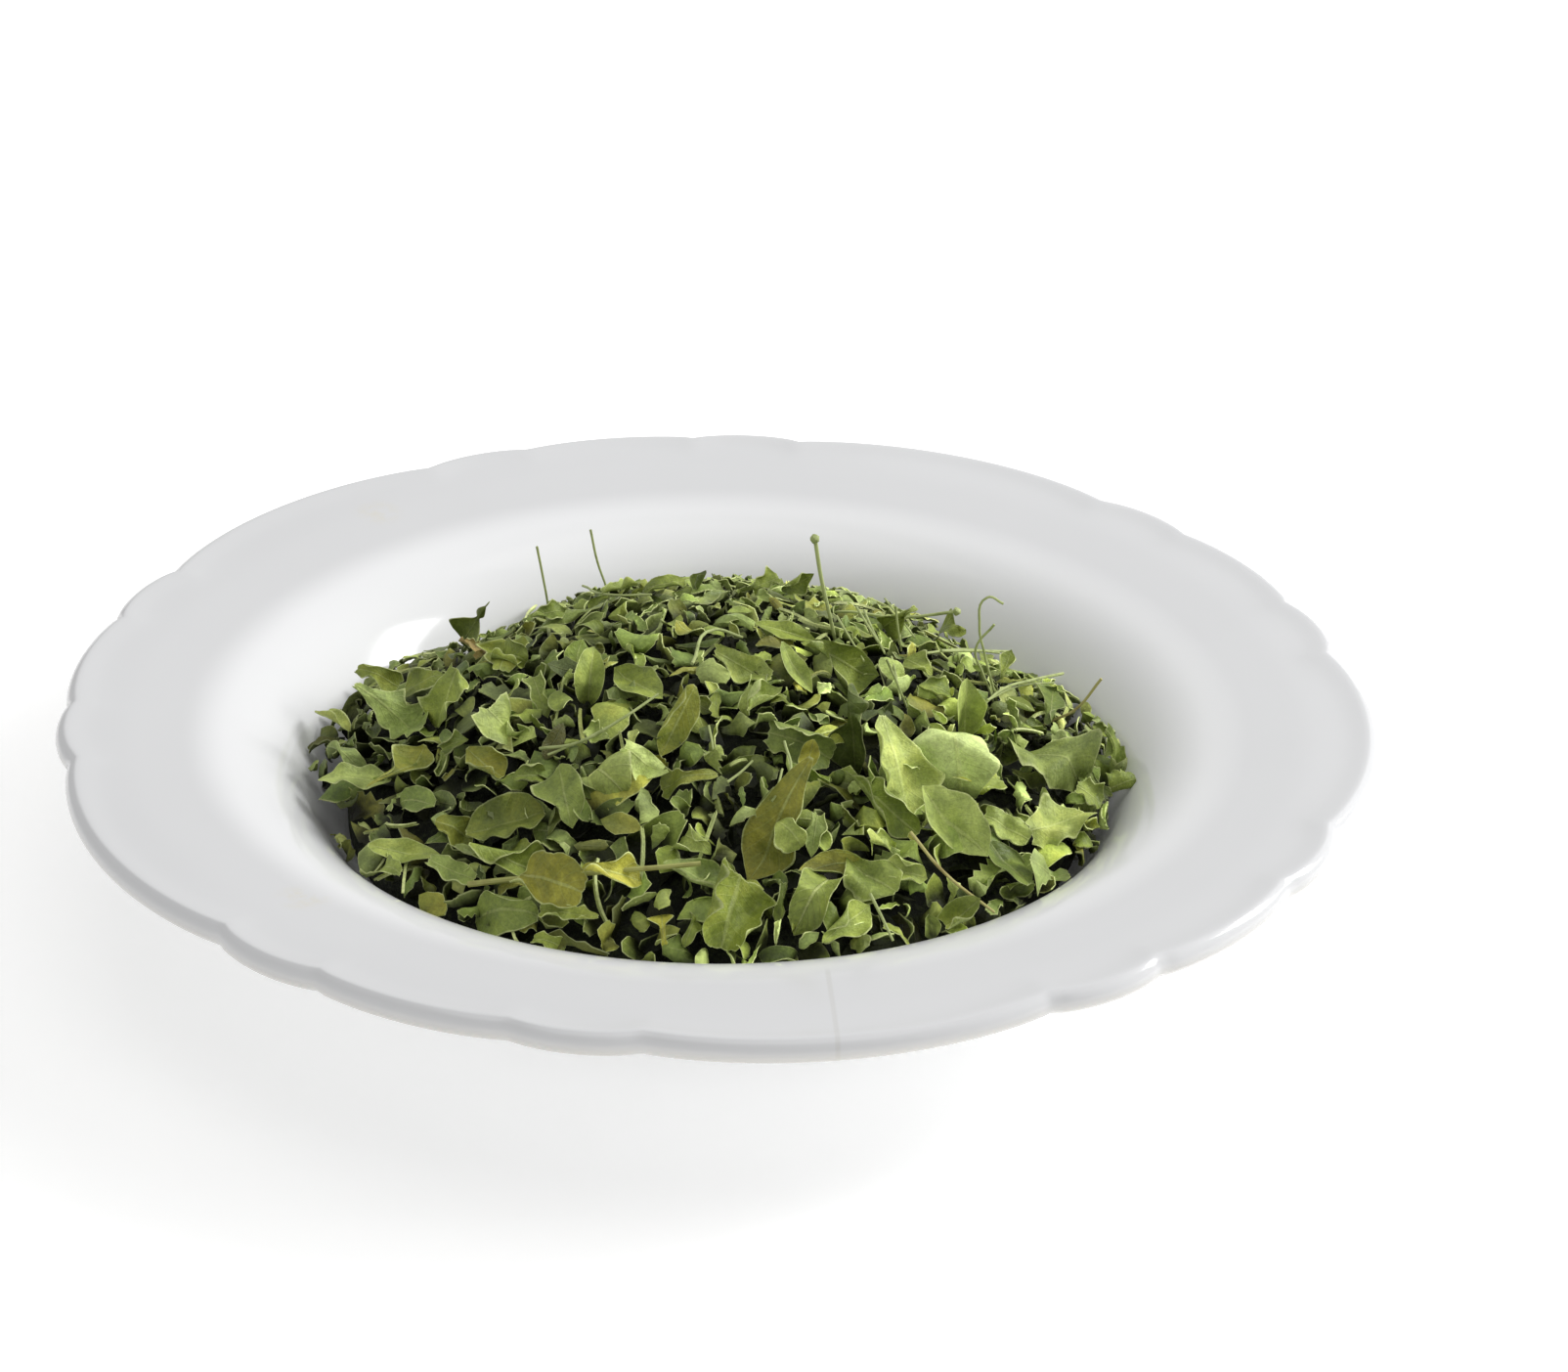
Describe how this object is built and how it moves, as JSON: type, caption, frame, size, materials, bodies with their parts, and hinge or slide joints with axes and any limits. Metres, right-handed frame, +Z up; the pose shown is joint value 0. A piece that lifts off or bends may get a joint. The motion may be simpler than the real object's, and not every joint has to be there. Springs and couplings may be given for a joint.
{
  "type": "plate of dried leaves",
  "caption": "Round white porcelain soup plate with a scalloped lip, heaped with dried, crumbled green leaves, a leafy twig and thin stalks.",
  "frame": {"origin": "middle of the foot ring, on the surface that the plate stands on", "axes": "+Z up, +Y away from the viewer, +X to the right"},
  "size_m": [0.2351, 0.2351, 0.0618],
  "materials": {
    "porcelain": "glossy white glaze",
    "leaf_mix": "matte dried leaf, mixed greens",
    "leaf_green": "matte dried leaf, mid green",
    "leaf_pale": "matte dried leaf, pale underside",
    "leaf_olive": "matte dried leaf, olive",
    "leaf_yellow": "matte dried leaf, yellow-green",
    "stalk_pale": "dry stalk, pale green",
    "stalk_brown": "dry stalk, brown"
  },
  "bodies": {
    "root": {"plate": "porcelain", "leaf_heap": "leaf_mix", "leaf_crumpled": "leaf_pale", "leaf_blue_green": "leaf_pale", "leaf_dark_upright": "leaf_green", "leaf_wrinkled": "leaf_green", "leaf_folded": "leaf_pale", "leaf_long_folded": "leaf_pale", "leaf_cut": "leaf_green", "leaf_rolled": "leaf_green", "leaf_right": "leaf_pale", "leaf_olive_diagonal": "leaf_olive", "leaf_dark_right": "leaf_green", "leaf_crumpled_left": "leaf_pale", "leaf_wavy_left": "leaf_green", "leaf_olive_left": "leaf_olive", "leaf_tall_folded": "leaf_green", "leaf_broad_middle": "leaf_green", "leaf_olive_blade": "leaf_olive", "leaf_light_strip": "leaf_pale", "leaf_ribbed_curl": "leaf_pale", "leaf_long_curved": "leaf_green", "leaf_dark_olive": "leaf_olive", "leaf_pale_left": "leaf_pale", "leaf_round": "leaf_green", "leaf_broad_near": "leaf_green", "leafy_twig": "leaf_yellow", "stalk_far_left": "stalk_pale", "stalk_left_tall": "stalk_pale", "stalk_long_middle": "stalk_pale", "stalk_pale_bent": "stalk_pale", "stalk_thick": "stalk_pale", "stalk_long_knob": "stalk_pale", "stalk_fork_tall": "stalk_pale", "stalk_fork_short": "stalk_pale", "stalk_pale_thick": "stalk_pale", "stalk_brown": "stalk_brown", "stalk_hooked": "stalk_pale"}
  },
  "joints": []
}
